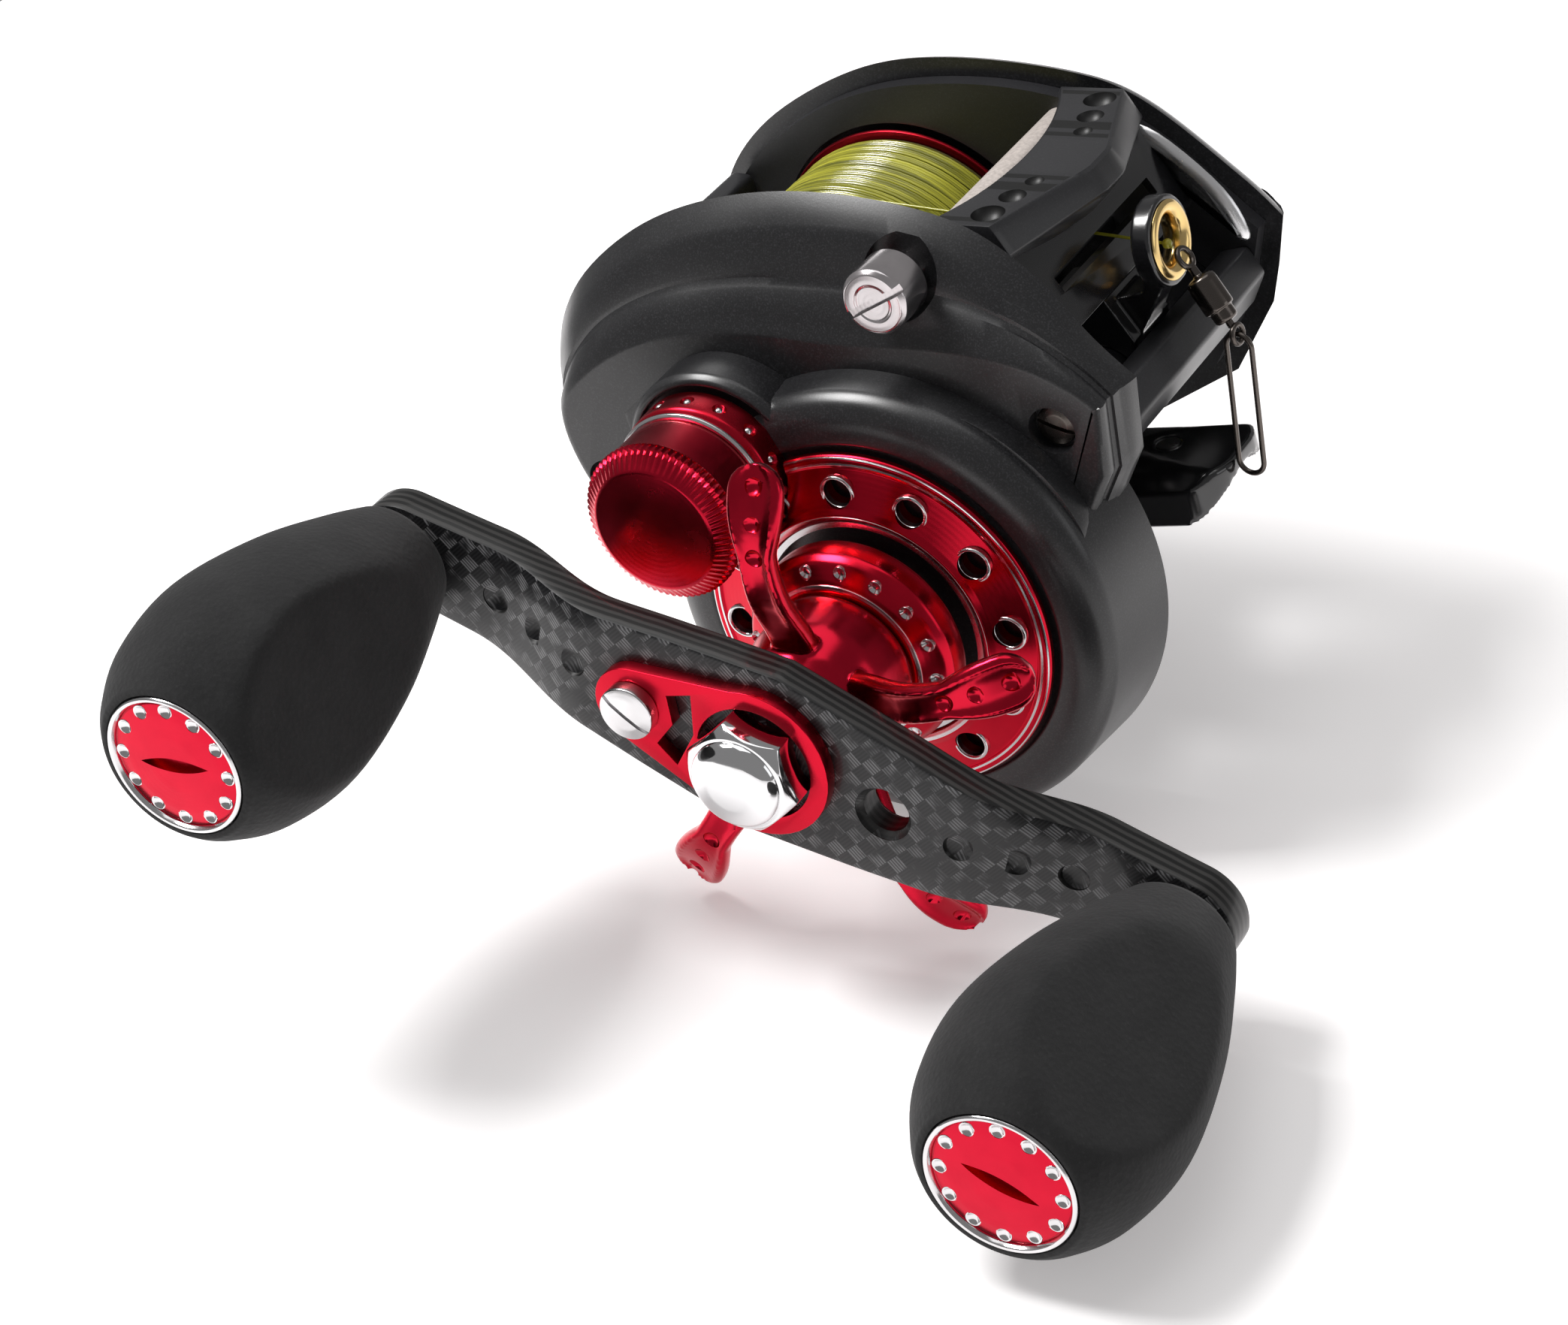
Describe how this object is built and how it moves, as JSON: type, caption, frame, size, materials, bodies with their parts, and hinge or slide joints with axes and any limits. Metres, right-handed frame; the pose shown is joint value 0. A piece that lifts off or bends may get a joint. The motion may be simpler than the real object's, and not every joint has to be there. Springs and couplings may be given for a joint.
{
  "type": "baitcasting fishing reel",
  "caption": "Low-profile baitcasting reel with a swept double-knob crank, star drag, spool tension cap, filled spool, line guide, swivel and snap.",
  "frame": {"origin": "on the crown of the foot's saddle, under the middle of the reel, where the foot meets the rod's reel seat; the drive shaft's axis is the Y axis", "axes": "+X forward along the rod towards the line guide, +Y towards the palm side so the crank is on -Y, +Z away from the rod"},
  "size_m": [0.1016, 0.1194, 0.0787],
  "materials": {
    "satin_black": "satin black-grey paint",
    "cover_black": "satin black-grey, soft sheen",
    "foot_black": "gloss black",
    "inner_black": "gloss black",
    "chrome": "polished",
    "silver": "satin silver",
    "red_anodised": "red anodised, satin",
    "spool_red": "dark red anodised, polished",
    "carbon": "woven carbon fibre in clear resin",
    "foam": "fine closed-cell foam",
    "steel": "turned",
    "dark_steel": "dark nickel",
    "gear_brass": "machined",
    "gold": "polished gold tone",
    "line": "clear yellow-green monofilament",
    "bush_plastic": "moulded",
    "felt": "drag felt"
  },
  "bodies": {
    "reel_body": {"main_frame": "satin_black", "reel_foot": "foot_black", "foot_rivets": "steel", "gear_side_cover": "cover_black", "palm_side_cover": "cover_black", "cover_screws": "dark_steel", "palm_cover_screws": "dark_steel", "front_hood": "cover_black", "front_bar": "cover_black", "front_shield": "inner_black", "front_trim": "chrome", "top_cross_bar": "silver", "worm_tube": "inner_black", "guide_rail": "steel", "vented_disc": "red_anodised", "disc_ring": "silver", "one_way_bearing": "steel", "drive_shaft_bearing": "steel", "spool_bearing_gear_side": "steel", "spool_bearing_palm_side": "steel", "brake_ring": "silver"},
    "handle": {"drive_shaft": "steel", "drive_gear": "gear_brass", "drag_washers": "felt", "pressure_plate": "steel", "level_wind_gear": "bush_plastic", "handle_arm": "carbon", "handle_nut": "chrome", "nut_keeper": "red_anodised", "keeper_screw": "silver", "knob_spindles": "steel"},
    "star": {"star_drag": "red_anodised", "star_collar": "red_anodised"},
    "front_knob": {"front_knob_grip": "foam", "front_knob_cap": "red_anodised", "front_knob_bushes": "steel"},
    "rear_knob": {"rear_knob_grip": "foam", "rear_knob_cap": "red_anodised", "rear_knob_bushes": "steel"},
    "tension": {"tension_cap": "red_anodised", "tension_ring": "silver", "tension_base": "red_anodised"},
    "side_screw": {"thumb_screw": "silver"},
    "spool": {"spool": "spool_red", "spool_shaft": "steel", "line_pack": "line", "brake_hub": "bush_plastic", "brake_blocks": "bush_plastic"},
    "clutch_bar": {"thumb_bar": "cover_black"},
    "yoke": {"clutch_yoke": "bush_plastic"},
    "pinion": {"pinion": "gear_brass"},
    "worm": {"worm_shaft": "steel", "worm_gear": "bush_plastic"},
    "line_guide": {"guide_carriage": "inner_black", "guide_ring": "gold", "guide_pawl": "steel", "line_lead": "line"},
    "swivel": {"swivel_barrel": "dark_steel"},
    "swivel_eye": {"swivel_lower_eye": "dark_steel"},
    "snap": {"line_snap": "dark_steel"}
  },
  "joints": [
    {"name": "handle_turn", "type": "hinge", "parent": "reel_body", "child": "handle", "pos_m": [0, 0, 0], "axis": [0, 1, 0], "continuous": true},
    {"name": "star_turn", "type": "hinge", "parent": "handle", "child": "star", "pos_m": [0, 0, 0], "axis": [0, 1, 0], "range_deg": [-270, 90]},
    {"name": "front_knob_spin", "type": "hinge", "parent": "handle", "child": "front_knob", "pos_m": [0.03924, -0.06, -0.02202], "axis": [0, 1, 0], "continuous": true},
    {"name": "rear_knob_spin", "type": "hinge", "parent": "handle", "child": "rear_knob", "pos_m": [-0.03924, -0.06, 0.02202], "axis": [0, 1, 0], "continuous": true},
    {"name": "tension_turn", "type": "hinge", "parent": "reel_body", "child": "tension", "pos_m": [-0.01475, -0.04, 0.01814], "axis": [0, 1, 0], "range_deg": [-270, 90]},
    {"name": "side_screw_turn", "type": "hinge", "parent": "reel_body", "child": "side_screw", "pos_m": [0.0088, -0.026, 0.0346], "axis": [0, 1, 0], "range_deg": [-270, 0]},
    {"name": "spool_spin", "type": "hinge", "parent": "reel_body", "child": "spool", "pos_m": [-0.01475, 0, 0.01814], "axis": [0, 1, 0], "continuous": true},
    {"name": "clutch_press", "type": "slide", "parent": "reel_body", "child": "clutch_bar", "axis": [0, 0, -1], "range_m": [0, 0.003], "stiffness_N_per_m": 200},
    {"name": "yoke_slide", "type": "slide", "parent": "reel_body", "child": "yoke", "axis": [0, -1, 0], "range_m": [0, 0.0012]},
    {"name": "pinion_spin", "type": "hinge", "parent": "yoke", "child": "pinion", "pos_m": [-0.01475, -0.024, 0.01814], "axis": [0, 1, 0], "continuous": true},
    {"name": "worm_spin", "type": "hinge", "parent": "reel_body", "child": "worm", "pos_m": [0.0175, 0, 0.0126], "axis": [0, 1, 0], "continuous": true},
    {"name": "guide_travel", "type": "slide", "parent": "reel_body", "child": "line_guide", "axis": [0, 1, 0], "range_m": [-0.0105, 0.0105]},
    {"name": "swivel_swing", "type": "hinge", "parent": "line_guide", "child": "swivel", "pos_m": [0.0286, -0.0007, 0.0244], "axis": [0, 1, 0], "range_deg": [-70, 0]},
    {"name": "swivel_twist", "type": "hinge", "parent": "swivel", "child": "swivel_eye", "pos_m": [0.0286, -0.0007, 0.0244], "axis": [0.44, -0.12, -0.89], "continuous": true},
    {"name": "snap_swing", "type": "hinge", "parent": "swivel_eye", "child": "snap", "pos_m": [0.03282, -0.00185, 0.01586], "axis": [0.9944, -0.1058, 0], "range_deg": [-40, 40]}
  ],
  "couplings": [
    {"joint": "spool_spin", "follows": "handle_turn", "ratio": -6.0833},
    {"joint": "pinion_spin", "follows": "handle_turn", "ratio": -6.0833},
    {"joint": "worm_spin", "follows": "handle_turn", "ratio": -1.8182},
    {"joint": "yoke_slide", "follows": "clutch_press", "ratio": 0.4}
  ]
}
